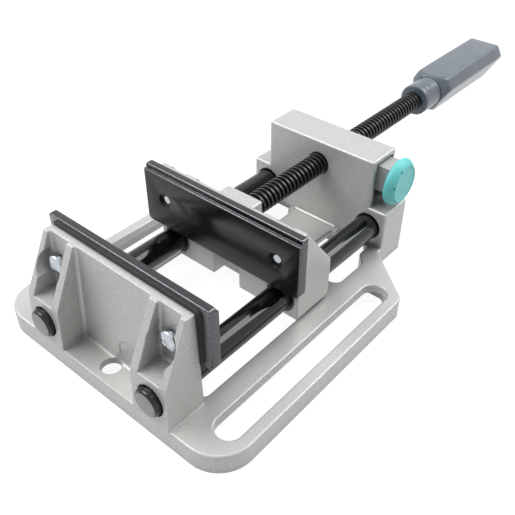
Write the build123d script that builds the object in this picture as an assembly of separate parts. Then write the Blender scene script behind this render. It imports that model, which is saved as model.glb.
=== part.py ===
"""Drill press vise with a quick release: every piece as its own solid.

Millimetres. +X runs along the jaws, +Y along the spindle toward the grip, +Z up.
The origin is on the underside, midway between the two table slots.
"""

import math
import os

from build123d import *

os.makedirs("parts", exist_ok=True)

# Base plate
HALF_WIDTH = 75.5
BASE_TOP = 10.8
FRONT_CORNER_R = 18.0
WING_END_Y = 132.5
NECK_Y = 157.5
SLOT_EDGE = 12.8
SLOT_W = 13.1
SLOT_Y0 = 11.8
SLOT_Y1 = 133.5
SLOT_WEB = 5.0
SKIRT = 4.0
FRONT_SKIRT = 8.5
FRONT_WALL = 3.0
HOLLOW_WALL = 4.0
HOLLOW_R = 3.0
RIM_R = 0.9
OPEN_EDGE = 0.6
THIN_WEB = 3.4
BOLT_Y = 8.3
BOLT_R = 4.9
BOLT_CLEAR = 0.9
FOOT_R = 1.8

# Openings through the base plate
OPEN_X = 44.4
OPEN_Y0 = 22.6
OPEN_Y1 = 103.0
REAR_OPEN_Y0 = 120.4
REAR_OPEN_Y1 = 157.4
TONGUE_X = 13.8
TONGUE_FLARE = 0.8
NECK_OPEN_X = 38.5
REAR_BEND_Y0 = 143.0
REAR_BEND_Y1 = 149.5

# Front jaw upright
JAW_HALF_LOW = 46.1
JAW_HALF_TOP = 44.4
JAW_TOP = 61.8
JAW_BACK_Y = 20.5
JAW_BEND_Y = 1.6
JAW_BEND_Z = 33.6
JAW_HEEL_Y = 0.3
JAW_HEEL_RISE = 3.2
JAW_TOP_Y = 15.4
CENTRE_POCKET_X = 24.0
SIDE_POCKET_X0 = 28.3
SIDE_POCKET_X1 = 41.5
POCKET_FLOOR_Z = 33.0
POCKET_R = 1.5
WALL_LOW_Y = 13.2
WALL_TOP_Y = 17.0
ROUND_X = 6.5
ROUND_R = 6.0
ROUND_DEPTH = 0.25
SCALLOP_R = 8.2
SEAT_DEPTH = 5.3
CAST_EDGE_R = 0.8

# Rear block and tower
BLOCK_Y0 = 160.3
BLOCK_Y1 = 181.5
BLOCK_HALF = 45.6
BLOCK_TOP = 33.2
TOWER_HALF = 34.7
TOWER_TOP = 61.1
MOUTH_Y0 = 163.6
MOUTH_Y1 = 179.0
MOUTH_TOP = 58.6
MOUTH_X = 27.0
TOWER_HOLLOW_X = 24.0
TOWER_HOLLOW_TOP = 30.0
BLOCK_EDGE_R = 1.2

# Guide rods
ROD_X = 35.2
ROD_Z = 21.8
ROD_R = 7.0
ROD_FIT = 0.03
ROD_FRONT = -2.2
ROD_BORE_END = 176.0
ROD_RECESS_R = 7.7
ROD_RECESS = 2.5
GRUB_R = 2.5
GRUB_Y = 10.0

# Jaw plates
PLATE_HALF = 50.0
PLATE_Z0 = 31.2
PLATE_Z1 = 64.4
PLATE_T = 5.7
LEDGE_Y = 1.6
LEDGE_Z = 2.7
PLATE_CORNER_R = 2.6
BACKING_T = 2.0
BACKING_HALF = 46.6
BACKING_TOP = 63.4
BACKING_Z0 = 34.0
SCREW_X = 36.0
SCREW_Z = 47.6
SCREW_R = 2.5
SCREW_HEAD_R = 4.8
SCREW_HEAD_H = 2.4
SCREW_DOME_H = 1.4
SCREW_DOME_R = 3.3
CROSS_LEN = 3.6
CROSS_W = 0.8
CROSS_DEPTH = 1.4
SCREW_PASS_R = 2.8
SCREW_HOLE_R = 2.53
SCREW_MOUTH_R = 4.0
TIP_RECESS = 1.6
WASHER_R = 3.7
WASHER_T = 2.0

# Sliding carriage, seen from its front face
JAW_GAP = 50.9
CAR_HALF = 46.0
CAR_Z0 = 12.2
CAR_TOP = 62.0
CAR_LEN = 25.5
CAR_EDGE_R = 1.0
CAR_SLOPE_Z = 35.2
CAR_TOP_LEN = 4.5
CAR_WALL_LOW = 7.4
CAR_WALL_TOP = 3.6
LEG_X = 8.8
LEG_LEN = 12.5
RIB_X0 = 22.0
RIB_X1 = 29.0
CHEEK_X = 39.6
LEG_GAP_Z = 33.0
BOSS_HALF = 11.0
BOSS_LEN = 15.0
BOSS_Z0 = 36.5
BOSS_TOP = 58.2
BUSH_R = 8.4
BUSH_FIT = 0.05

# Spindle
SPINDLE_Z = 47.6
SPINDLE_R = 6.0
SPINDLE_FIT = 0.08
BORE_BREAK = 0.6
JOURNAL_R = 4.9
JOURNAL_FIT = 0.05
SEAT_R = 7.2
SEAT_LEN = 4.0
THRUST_T = 1.2
RING_T = 1.0
RING_GROOVE_R = 4.1
RING_R = 7.0
RING_POCKET_R = 8.5
RING_POCKET = 3.6

# Grip
HUB_Y = 262.0
HUB_R = 9.7
HUB_END = 279.5
GRIP_Y = 285.5
GRIP_END = 357.7
FLAT_DIST = 10.7
CORNER_DIST = 14.4
GRIP_CORNER_R = 2.0
SOCKET_R = 4.9
SOCKET_LEN = 17.0
PIN_Y = 268.8
PIN_R = 2.0
PIN_WALL = 0.45
PIN_TURN = 30.0
PIN_COVER = 1.2
MARK_R = 3.1
MARK_WALL = 0.8
MARK_RISE = 0.3

# Release slider, button and spring
SLIDER_Y0 = 165.5
SLIDER_Y1 = 178.1
SLIDER_Z0 = 37.0
SLIDER_Z1 = 58.2
SLIDER_X0 = -14.0
STEM_X0 = 24.0
STEM_END = 41.4
STEM_Z0 = 41.2
STEM_Z1 = 57.3
SLIDER_FIT = 0.05
SLIDER_TRAVEL = 4.0
NUT_FIT = 0.05
BUTTON_Z = 48.4
BUTTON_R = 13.1
BUTTON_T = 6.4
BUTTON_FACE_R = 9.6
SPIGOT_R = 4.0
SPIGOT_LEN = 4.0
CAVITY_END = -31.0
SPRING_R = 4.6
SPRING_WIRE_R = 0.5
SPRING_TURNS = 4.0
STOP_X = 18.0
STOP_R = 1.5
STOP_LOW = 24.0
STOP_TOP = 39.4

# Positions that follow from the sizes above
ORIGIN_Y = (SLOT_Y0 + SLOT_Y1) / 2.0
SLOT_X = HALF_WIDTH - SLOT_EDGE
FIXED_PLATE_Y = JAW_BACK_Y + BACKING_T
FIXED_FACE_Y = FIXED_PLATE_Y + PLATE_T
MOVING_FACE_Y = FIXED_FACE_Y + JAW_GAP
CAR_Y = MOVING_FACE_Y + PLATE_T
CAR_REAR = CAR_Y + CAR_LEN
SLIDER_MID_Y = (SLIDER_Y0 + SLIDER_Y1) / 2.0
SEAT_Y = JAW_BACK_Y - SEAT_DEPTH
SHOULDER_Y = CAR_Y + BOSS_LEN - SEAT_LEN + THRUST_T


def box(x0, x1, y0, y1, z0, z1):
    centre = ((x0 + x1) / 2.0, (y0 + y1) / 2.0, (z0 + z1) / 2.0)
    return Pos(*centre) * Box(x1 - x0, y1 - y0, z1 - z0)


def cyl_x(y, z, r, x0, x1):
    turned = Rot(0, 90, 0) * Cylinder(r, x1 - x0)
    return Pos((x0 + x1) / 2.0, y, z) * turned


def cyl_y(x, z, r, y0, y1):
    turned = Rot(90, 0, 0) * Cylinder(r, y1 - y0)
    return Pos(x, (y0 + y1) / 2.0, z) * turned


def cyl_z(x, y, r, z0, z1):
    return Pos(x, y, (z0 + z1) / 2.0) * Cylinder(r, z1 - z0)


def outline(points):
    """A closed face in the sketch plane; each point is (u, v) or (u, v, corner radius)."""
    count = len(points)
    starts = []
    ends = []
    mids = []
    for i in range(count):
        u, v = points[i][0], points[i][1]
        r = points[i][2] if len(points[i]) > 2 else 0.0
        before = points[i - 1]
        after = points[(i + 1) % count]
        d0 = (before[0] - u, before[1] - v)
        d1 = (after[0] - u, after[1] - v)
        n0 = math.hypot(*d0)
        n1 = math.hypot(*d1)
        d0 = (d0[0] / n0, d0[1] / n0)
        d1 = (d1[0] / n1, d1[1] / n1)
        if r == 0.0:
            starts.append((u, v))
            ends.append((u, v))
            mids.append(None)
            continue
        half = math.acos(max(-1.0, min(1.0, d0[0] * d1[0] + d0[1] * d1[1]))) / 2.0
        back = r / math.tan(half)
        reach = r / math.sin(half)
        bis = (d0[0] + d1[0], d0[1] + d1[1])
        nb = math.hypot(*bis)
        bis = (bis[0] / nb, bis[1] / nb)
        starts.append((u + d0[0] * back, v + d0[1] * back))
        ends.append((u + d1[0] * back, v + d1[1] * back))
        mids.append((u + bis[0] * (reach - r), v + bis[1] * (reach - r)))
    edges = []
    for i in range(count):
        if mids[i] is not None:
            edges.append(ThreePointArc(starts[i], mids[i], ends[i]))
        following = starts[(i + 1) % count]
        if math.hypot(following[0] - ends[i][0], following[1] - ends[i][1]) > 1e-6:
            edges.append(Line(ends[i], following))
    return make_face(Wire(edges))


def plan(points, z0, z1):
    """Outline in X and Y, raised from z0 to z1."""
    return Pos(0, 0, z0) * extrude(outline(points), z1 - z0)


def side(points, x0, x1):
    """Outline in Y and Z, run from x0 to x1."""
    face = Plane.YZ * outline(points)
    return Pos(x0, 0, 0) * extrude(face, x1 - x0)


def front(points, y0, y1):
    """Outline in X and Z, run from y0 to y1."""
    face = Plane.XZ * outline(points)
    return Pos(0, y1, 0) * extrude(face, y1 - y0)


def soften(shape, edges, radius):
    """Round the chosen edges; a smaller radius is taken where the full one can't fit."""
    chosen = list(edges)
    for part_of in (1.0, 0.6, 0.3):
        try:
            rounded = fillet(chosen, radius * part_of)
            if rounded.is_valid:
                return rounded
        except Exception:
            continue
    return shape


def break_edges(shape, edges, size):
    """Flat break along the chosen edges, for edges that a tool or a mould leaves crisp."""
    return chamfer(list(edges), size)


def back_wall_edges(tool):
    """Foot and upright edges of a pocket tool's rearmost face; its top edge is left."""
    back_wall = tool.faces().sort_by(Axis.Y)[-1]
    return back_wall.edges().sort_by(Axis.Z)[:-1]


def mirrored(points):
    return [(-p[0], *p[1:]) for p in reversed(points)]


def save(shape, name):
    moved = Pos(0, -ORIGIN_Y, 0) * shape
    solids = moved.solids()
    result = solids[0] if len(solids) == 1 else Compound(solids)
    export_step(result, "parts/" + name + ".step")
    print(name, len(solids), round(sum(s.volume for s in solids) / 1000.0, 2), "cm3", result.is_valid)


def base_casting():
    half_plan = [
        (HALF_WIDTH, 0.0, FRONT_CORNER_R),
        (HALF_WIDTH, WING_END_Y, 7.0),
        (BLOCK_HALF, NECK_Y, 3.0),
        (BLOCK_HALF, BLOCK_Y1, 1.5),
    ]
    plate = plan(half_plan + mirrored(half_plan), 0.0, BASE_TOP)

    slot_r = SLOT_W / 2.0 - 0.01
    slots = []
    for s in (-1, 1):
        x0 = s * SLOT_X - SLOT_W / 2.0
        x1 = s * SLOT_X + SLOT_W / 2.0
        ring = [
            (x0, SLOT_Y0, slot_r),
            (x1, SLOT_Y0, slot_r),
            (x1, SLOT_Y1, slot_r),
            (x0, SLOT_Y1, slot_r),
        ]
        slots.append(plan(ring, -1.0, BASE_TOP + 1.0))
    big_open = plan(
        [
            (-OPEN_X, OPEN_Y0, 3.0),
            (OPEN_X, OPEN_Y0, 3.0),
            (OPEN_X, OPEN_Y1, 6.0),
            (-OPEN_X, OPEN_Y1, 6.0),
        ],
        -1.0,
        BASE_TOP + 1.0,
    )
    rear_ring = [
        (TONGUE_X, REAR_OPEN_Y0, 4.0),
        (OPEN_X, REAR_OPEN_Y0, 5.0),
        (OPEN_X, REAR_BEND_Y0, 4.0),
        (NECK_OPEN_X, REAR_BEND_Y1, 4.0),
        (NECK_OPEN_X, REAR_OPEN_Y1, 2.0),
        (TONGUE_X + TONGUE_FLARE, REAR_OPEN_Y1, 3.0),
    ]
    rear_opens = [
        plan(rear_ring, -1.0, BASE_TOP + 1.0),
        plan(mirrored(rear_ring), -1.0, BASE_TOP + 1.0),
    ]
    for tool in slots + [big_open] + rear_opens:
        plate = plate - tool
    top_face = plate.faces().sort_by(Axis.Z)[-1]
    inner_rims = [e for wire in top_face.inner_wires() for e in wire.edges()]
    plate = break_edges(plate, inner_rims, OPEN_EDGE)
    outer_rim = plate.faces().sort_by(Axis.Z)[-1].outer_wire().edges()
    plate = soften(plate, outer_rim, RIM_R)

    # Hollow underside: wings, front corners, cross web
    wing_x = OPEN_X + HOLLOW_WALL
    wing_y = OPEN_Y0 + HOLLOW_WALL
    skirt_x = HALF_WIDTH - SKIRT
    slant = (HALF_WIDTH - BLOCK_HALF) / (NECK_Y - WING_END_Y)
    wing_hollow = [
        (wing_x, wing_y, HOLLOW_R),
        (skirt_x, wing_y, HOLLOW_R),
        (skirt_x, WING_END_Y - SKIRT, HOLLOW_R),
        (skirt_x - 2.0 * SKIRT * slant, WING_END_Y + SKIRT, HOLLOW_R),
        (wing_x, WING_END_Y + SKIRT, HOLLOW_R),
    ]
    # Its outer corner follows the plate's corner, as far as the room beside the jaw allows
    front_room = skirt_x - JAW_HALF_LOW - HOLLOW_WALL
    front_corner = min(FRONT_CORNER_R - SKIRT, front_room - HOLLOW_R - 0.1)
    front_hollow = [
        (JAW_HALF_LOW + HOLLOW_WALL, FRONT_SKIRT, HOLLOW_R),
        (skirt_x, FRONT_SKIRT, front_corner),
        (skirt_x, wing_y + HOLLOW_R),
        (JAW_HALF_LOW + HOLLOW_WALL, wing_y + HOLLOW_R),
    ]
    web_hollow = [
        (-OPEN_X + HOLLOW_WALL, OPEN_Y1 + HOLLOW_WALL, HOLLOW_R),
        (OPEN_X - HOLLOW_WALL, OPEN_Y1 + HOLLOW_WALL, HOLLOW_R),
        (OPEN_X - HOLLOW_WALL, REAR_OPEN_Y0 - HOLLOW_WALL, HOLLOW_R),
        (-OPEN_X + HOLLOW_WALL, REAR_OPEN_Y0 - HOLLOW_WALL, HOLLOW_R),
    ]
    for ring in (wing_hollow, mirrored(wing_hollow), front_hollow, mirrored(front_hollow), web_hollow):
        plate = plate - plan(ring, -1.0, BASE_TOP - SLOT_WEB)
    # The tongue and the strip in front of the block are a thinner web
    plate = plate - box(-NECK_OPEN_X + 0.5, NECK_OPEN_X - 0.5, REAR_OPEN_Y0 + 0.5, BLOCK_Y0 + 0.5,
                        -1.0, BASE_TOP - THIN_WEB)

    # Front upright: side outline crossed with a drafted front outline
    upright = side(
        [
            (0.0, 0.0),
            (JAW_BACK_Y + 0.6, 0.0),
            (JAW_BACK_Y, BASE_TOP + 6.0),
            (JAW_BACK_Y, JAW_TOP),
            (JAW_TOP_Y, JAW_TOP),
            (JAW_BEND_Y, JAW_BEND_Z, 4.0),
            (JAW_HEEL_Y, BASE_TOP + JAW_HEEL_RISE),
            (0.0, BASE_TOP),
        ],
        -JAW_HALF_LOW - 1.0,
        JAW_HALF_LOW + 1.0,
    )
    drafted = front(
        [
            (-JAW_HALF_LOW, 0.0),
            (JAW_HALF_LOW, 0.0),
            (JAW_HALF_LOW, BASE_TOP),
            (JAW_HALF_TOP, JAW_TOP),
            (-JAW_HALF_TOP, JAW_TOP),
            (-JAW_HALF_LOW, BASE_TOP),
        ],
        -2.0,
        JAW_BACK_Y + 2.0,
    )
    upright = upright & drafted

    # Pockets, cut by rounded tools
    wall_rise = (WALL_TOP_Y - WALL_LOW_Y) / (JAW_TOP - BASE_TOP)
    wall_at_floor = WALL_LOW_Y + wall_rise * (POCKET_FLOOR_Z - BASE_TOP)
    wall_above = WALL_LOW_Y + wall_rise * (JAW_TOP + 8.0 - BASE_TOP)
    centre_tool = side(
        [
            (-5.0, BASE_TOP),
            (WALL_LOW_Y, BASE_TOP),
            (wall_above, JAW_TOP + 8.0),
            (-5.0, JAW_TOP + 8.0),
        ],
        -CENTRE_POCKET_X,
        CENTRE_POCKET_X,
    )
    upright = upright - soften(centre_tool, back_wall_edges(centre_tool), FOOT_R)
    for s in (-1, 1):
        xa = s * SIDE_POCKET_X0 if s > 0 else s * SIDE_POCKET_X1
        xb = s * SIDE_POCKET_X1 if s > 0 else s * SIDE_POCKET_X0
        pocket_tool = side(
            [
                (-5.0, POCKET_FLOOR_Z),
                (wall_at_floor, POCKET_FLOOR_Z),
                (wall_above, JAW_TOP + 8.0),
                (-5.0, JAW_TOP + 8.0),
            ],
            xa,
            xb,
        )
        upright = upright - soften(pocket_tool, back_wall_edges(pocket_tool), POCKET_R)
        upright = upright - cyl_y(s * SCREW_X, SCREW_Z, SCALLOP_R, -5.0, SEAT_Y)
        upright = upright - cyl_y(s * SCREW_X, SCREW_Z, SCREW_PASS_R, 5.0, JAW_BACK_Y + 2.0)
    # Shallow round mark low on the centre wall, square to the leaning wall
    round_rise = FOOT_R + ROUND_R + 0.2
    round_y = WALL_LOW_Y + wall_rise * round_rise
    lean = math.degrees(math.atan(wall_rise))
    round_tool = Rot(90.0 - lean, 0, 0) * Cylinder(ROUND_R, 2.0 * ROUND_DEPTH)
    upright = upright - Pos(ROUND_X, round_y, BASE_TOP + round_rise) * round_tool
    rim = []
    for e in upright.edges():
        c = e.center()
        on_front = c.Y < WALL_TOP_Y + 0.6 and c.Z > BASE_TOP + 1.5
        top_edge = abs(c.Z - JAW_TOP) < 0.05
        inside_seat = abs(c.Y - SEAT_Y) < 1.5 and e.geom_type == GeomType.CIRCLE
        if top_edge and not inside_seat:
            rim.append(e)
        elif on_front and e.length > 20.0 and c.Y < JAW_TOP_Y:
            rim.append(e)
    upright = soften(upright, rim, CAST_EDGE_R)

    # Rear block and tower
    block = box(-BLOCK_HALF, BLOCK_HALF, BLOCK_Y0, BLOCK_Y1, 0.0, BLOCK_TOP)
    block = soften(
        block,
        [e for e in block.edges() if e.center().Z > 1.0 and abs(e.center().X) > BLOCK_HALF - 0.1
         or e.center().Z > BLOCK_TOP - 0.1],
        BLOCK_EDGE_R,
    )
    tower = box(-TOWER_HALF, TOWER_HALF, BLOCK_Y0, BLOCK_Y1, BLOCK_TOP - 5.0, TOWER_TOP)
    tower = soften(tower, [e for e in tower.edges() if e.center().Z > BLOCK_TOP], BLOCK_EDGE_R)
    casting = plate + upright + block + tower

    # Hollow under the front pocket; its floor is a thin web
    pocket_hollow = [
        (-CENTRE_POCKET_X + FRONT_WALL, FRONT_WALL, HOLLOW_R),
        (CENTRE_POCKET_X - FRONT_WALL, FRONT_WALL, HOLLOW_R),
        (CENTRE_POCKET_X - FRONT_WALL, OPEN_Y0 - FRONT_WALL, HOLLOW_R),
        (-CENTRE_POCKET_X + FRONT_WALL, OPEN_Y0 - FRONT_WALL, HOLLOW_R),
    ]
    casting = casting - plan(pocket_hollow, -1.0, BASE_TOP - THIN_WEB)

    # Slider way: mouth on the right, channel, spring room
    casting = casting - box(MOUTH_X, TOWER_HALF + 1.0, MOUTH_Y0, MOUTH_Y1, BLOCK_TOP, MOUTH_TOP)
    casting = casting - box(
        CAVITY_END,
        MOUTH_X + 1.0,
        SLIDER_Y0 - SLIDER_FIT,
        SLIDER_Y1 + SLIDER_FIT,
        SLIDER_Z0 - SLIDER_FIT,
        SLIDER_Z1 + SLIDER_FIT,
    )
    casting = casting - cyl_y(0.0, SPINDLE_Z, SPINDLE_R + SPINDLE_FIT, BLOCK_Y0 - 1.0, BLOCK_Y1 + 1.0)
    bore_mouth = Cone(SPINDLE_R + SPINDLE_FIT, SPINDLE_R + SPINDLE_FIT + BORE_BREAK, BORE_BREAK)
    casting = casting - Pos(0, BLOCK_Y0 + BORE_BREAK / 2.0, SPINDLE_Z) * Rot(90, 0, 0) * bore_mouth
    # Hollow under the tower, with the bore for the stop pin
    casting = casting - box(-TOWER_HOLLOW_X, TOWER_HOLLOW_X, BLOCK_Y0 + SKIRT, BLOCK_Y1 - SKIRT,
                            -1.0, TOWER_HOLLOW_TOP)
    casting = casting - cyl_z(STOP_X, SLIDER_MID_Y, STOP_R + 0.02, STOP_LOW - 1.0, SLIDER_Z0 + 1.0)

    # Rod bores, bolt hole and the threaded holes from below
    for s in (-1, 1):
        casting = casting - cyl_y(s * ROD_X, ROD_Z, ROD_R + ROD_FIT, -5.0, JAW_BACK_Y + 5.0)
        casting = casting - cyl_y(s * ROD_X, ROD_Z, ROD_RECESS_R, -5.0, ROD_RECESS)
        casting = casting - cyl_y(s * ROD_X, ROD_Z, ROD_R + ROD_FIT, BLOCK_Y0 - 2.0, ROD_BORE_END)
        casting = casting - cyl_y(s * ROD_X, ROD_Z, ROD_RECESS_R, BLOCK_Y0 - 2.0, BLOCK_Y0 + 1.5)
        casting = casting - cyl_z(s * ROD_X, GRUB_Y, GRUB_R + 0.02, -1.0, ROD_Z)
    casting = casting - cyl_z(0.0, BOLT_Y, BOLT_R, -1.0, BASE_TOP + BOLT_CLEAR)
    return casting


def jaw_plate(face_y, sign, clamp_holes):
    """Stepped plate; sign is the way the clamping face looks along Y."""
    back = face_y - sign * PLATE_T
    step = face_y - sign * LEDGE_Y
    profile = [
        (back, PLATE_Z0),
        (face_y, PLATE_Z0),
        (face_y, PLATE_Z1 - LEDGE_Z),
        (step, PLATE_Z1 - LEDGE_Z),
        (step, PLATE_Z1),
        (back, PLATE_Z1),
    ]
    plate = side(profile, -PLATE_HALF, PLATE_HALF)
    shape = front(
        [
            (-PLATE_HALF, PLATE_Z0, PLATE_CORNER_R),
            (PLATE_HALF, PLATE_Z0, PLATE_CORNER_R),
            (PLATE_HALF, PLATE_Z1, 1.2),
            (-PLATE_HALF, PLATE_Z1, 1.2),
        ],
        min(back, face_y) - 1.0,
        max(back, face_y) + 1.0,
    )
    plate = plate & shape
    long_edges = [e for e in plate.edges()
                  if e.length > 90.0 and (abs(e.center().Y - face_y) < 0.05
                                          or e.center().Z > PLATE_Z1 - 0.05)]
    plate = break_edges(plate, long_edges, 0.4)
    low = min(back, face_y) - 1.0
    high = max(back, face_y) + 1.0
    for x in clamp_holes:
        plate = plate - cyl_y(x, SCREW_Z, SCREW_HOLE_R, low, high)
        mouth = [
            (0.0, face_y + sign * 0.2),
            (SCREW_MOUTH_R, face_y + sign * 0.2),
            (SCREW_MOUTH_R, face_y - sign * (TIP_RECESS - 0.6)),
            (SCREW_HOLE_R, face_y - sign * TIP_RECESS),
            (0.0, face_y - sign * TIP_RECESS),
        ]
        turned = revolve(make_face(Polyline(*mouth, close=True)), Axis.Y)
        plate = plate - Pos(x, 0, SCREW_Z) * turned
    return plate


def jaw_screw(x, seat_y, sign, tip_y):
    """Thin domed screw on a collar that seats at seat_y, pointing along sign * Y."""
    under = seat_y - sign * WASHER_T
    top = under - sign * SCREW_HEAD_H
    profile = [
        (0.0, under),
        (SCREW_HEAD_R, under),
        (SCREW_HEAD_R, under - sign * (SCREW_HEAD_H - SCREW_DOME_H)),
        (SCREW_DOME_R, top),
        (0.0, top),
    ]
    turned = revolve(make_face(Polyline(*profile, close=True)), Axis.Y)
    head = Pos(x, 0, SCREW_Z) * turned
    shank = cyl_y(x, SCREW_Z, SCREW_R, min(under, tip_y), max(under, tip_y))
    cross = Box(CROSS_LEN, 2.0 * CROSS_DEPTH, CROSS_W) + Box(CROSS_W, 2.0 * CROSS_DEPTH, CROSS_LEN)
    return head + shank - Pos(x, top, SCREW_Z) * cross


def jaw_washer(x, seat_y, sign):
    under = seat_y - sign * WASHER_T
    ring = cyl_y(x, SCREW_Z, WASHER_R, min(under, seat_y), max(under, seat_y))
    return ring - cyl_y(x, SCREW_Z, SCREW_R + 0.25, min(under, seat_y) - 1.0, max(under, seat_y) + 1.0)


def carriage():
    y0 = CAR_Y
    body = side(
        [
            (y0, CAR_Z0),
            (y0 + CAR_LEN, CAR_Z0, 3.0),
            (y0 + CAR_LEN, CAR_SLOPE_Z, 3.0),
            (y0 + CAR_TOP_LEN, CAR_TOP, 1.2),
            (y0, CAR_TOP),
        ],
        -CAR_HALF,
        CAR_HALF,
    )
    ends = [
        e for e in body.edges()
        if abs(abs(e.center().X) - CAR_HALF) < 0.01 and e.center().Y > y0 + 0.1
    ]
    body = soften(body, ends, CAR_EDGE_R)
    wall_low = y0 + CAR_WALL_LOW
    wall_top = y0 + CAR_WALL_TOP
    rise = (wall_top - wall_low) / (CAR_TOP - LEG_GAP_Z)
    above = wall_top + rise * 8.0
    # Bay between the two inner ribs, behind the front wall
    bay = side(
        [
            (wall_low, LEG_GAP_Z),
            (y0 + CAR_LEN + 2.0, LEG_GAP_Z),
            (y0 + CAR_LEN + 2.0, CAR_TOP + 8.0),
            (above, CAR_TOP + 8.0),
        ],
        -RIB_X0,
        RIB_X0,
    )
    body = body - bay
    # Screw bays between rib and cheek
    for s in (-1, 1):
        xa = s * RIB_X1 if s > 0 else -CHEEK_X
        xb = s * CHEEK_X if s > 0 else -RIB_X1
        bay_side = side(
            [
                (wall_low, LEG_GAP_Z + 0.6),
                (y0 + CAR_LEN + 2.0, LEG_GAP_Z + 0.6),
                (y0 + CAR_LEN + 2.0, CAR_TOP + 8.0),
                (above, CAR_TOP + 8.0),
            ],
            xa,
            xb,
        )
        body = body - bay_side
        body = body - cyl_y(s * SCREW_X, SCREW_Z, SCALLOP_R, CAR_Y + SEAT_DEPTH, y0 + CAR_LEN + 2.0)
        body = body - cyl_y(s * SCREW_X, SCREW_Z, SCREW_PASS_R, y0 - 1.0, y0 + 12.0)
    # Room between the legs, and behind their inner parts
    body = body - box(-LEG_X, LEG_X, y0 - 1.0, y0 + CAR_LEN + 2.0, CAR_Z0 - 1.0, LEG_GAP_Z)
    body = body - box(-RIB_X0, RIB_X0, y0 + LEG_LEN, y0 + CAR_LEN + 2.0, CAR_Z0 - 1.0, LEG_GAP_Z + 1.0)
    # Rod boxes are tied to the cheeks; the spindle boss stands on the front wall
    boss = box(-BOSS_HALF, BOSS_HALF, y0, y0 + BOSS_LEN, BOSS_Z0, BOSS_TOP)
    boss = soften(boss, [e for e in boss.edges() if e.center().Y > y0 + 1.0], 0.9)
    foot = box(-BOSS_HALF, BOSS_HALF, y0, y0 + CAR_WALL_LOW - 0.4, LEG_GAP_Z, BOSS_Z0 + 3.0)
    body = body + boss + foot
    for s in (-1, 1):
        body = body - cyl_y(s * ROD_X, ROD_Z, BUSH_R + 0.02, y0 - 1.0, y0 + CAR_LEN + 1.0)
    body = body - cyl_y(0.0, SPINDLE_Z, JOURNAL_R + JOURNAL_FIT, y0 - 1.0, y0 + BOSS_LEN + 1.0)
    body = body - cyl_y(0.0, SPINDLE_Z, SEAT_R, y0 + BOSS_LEN - SEAT_LEN, y0 + BOSS_LEN + 1.0)
    body = body - cyl_y(0.0, SPINDLE_Z, RING_POCKET_R, y0 - 1.0, y0 + RING_POCKET)
    return body


def rod_bush(x):
    bush = cyl_y(x, ROD_Z, BUSH_R, CAR_Y, CAR_Y + CAR_LEN)
    return bush - cyl_y(x, ROD_Z, ROD_R + BUSH_FIT, CAR_Y - 1.0, CAR_Y + CAR_LEN + 1.0)


def guide_rod(x):
    rod = cyl_y(x, ROD_Z, ROD_R, ROD_FRONT, ROD_BORE_END - 0.5)
    ends = [e for e in rod.edges() if e.geom_type == GeomType.CIRCLE]
    return chamfer(ends, 0.8)


def lead_screw():
    """Plain bar at the thread's outer size, with its journals."""
    end_front = CAR_Y + 0.4
    end_rear = HUB_Y + SOCKET_LEN - 0.5
    ring_y = CAR_Y + RING_POCKET
    profile = [
        (0.0, end_front),
        (JOURNAL_R - 0.5, end_front),
        (JOURNAL_R, end_front + 0.5),
        (JOURNAL_R, ring_y - RING_T - 0.1),
        (RING_GROOVE_R, ring_y - RING_T - 0.1),
        (RING_GROOVE_R, ring_y),
        (JOURNAL_R, ring_y),
        (JOURNAL_R, SHOULDER_Y),
        (SPINDLE_R - 0.8, SHOULDER_Y),
        (SPINDLE_R, SHOULDER_Y + 0.8),
        (SPINDLE_R, HUB_Y - 0.9),
        (SPINDLE_R - 0.8, HUB_Y - 0.1),
        (SOCKET_R - 0.02, HUB_Y - 0.1),
        (SOCKET_R - 0.02, end_rear - 0.5),
        (SOCKET_R - 0.5, end_rear),
        (0.0, end_rear),
    ]
    screw = revolve(make_face(Polyline(*profile, close=True)), Axis.Y)
    screw = Pos(0, 0, SPINDLE_Z) * screw
    return screw - pin_tool(PIN_R + 0.01, HUB_R * 2.0)


def pin_tool(radius, length):
    """Bar through the hub's centre, turned from upright toward +X."""
    return Pos(0, PIN_Y, SPINDLE_Z) * Rot(0, PIN_TURN, 0) * Cylinder(radius, length)


def thrust_washer():
    y0 = SHOULDER_Y - THRUST_T + 0.02
    y1 = SHOULDER_Y - 0.02
    ring = cyl_y(0.0, SPINDLE_Z, SEAT_R - 0.3, y0, y1)
    return ring - cyl_y(0.0, SPINDLE_Z, JOURNAL_R + 0.08, y0 - 1.0, y1 + 1.0)


def retaining_ring():
    """Open ring in the groove at the front end of the spindle."""
    y1 = CAR_Y + RING_POCKET - 0.05
    y0 = y1 - RING_T
    ring = cyl_y(0.0, SPINDLE_Z, RING_R, y0, y1)
    ring = ring - cyl_y(0.0, SPINDLE_Z, RING_GROOVE_R + 0.03, y0 - 1.0, y1 + 1.0)
    gap = box(-2.6, 2.6, y0 - 1.0, y1 + 1.0, SPINDLE_Z - RING_R - 1.0, SPINDLE_Z)
    return ring - gap


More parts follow.
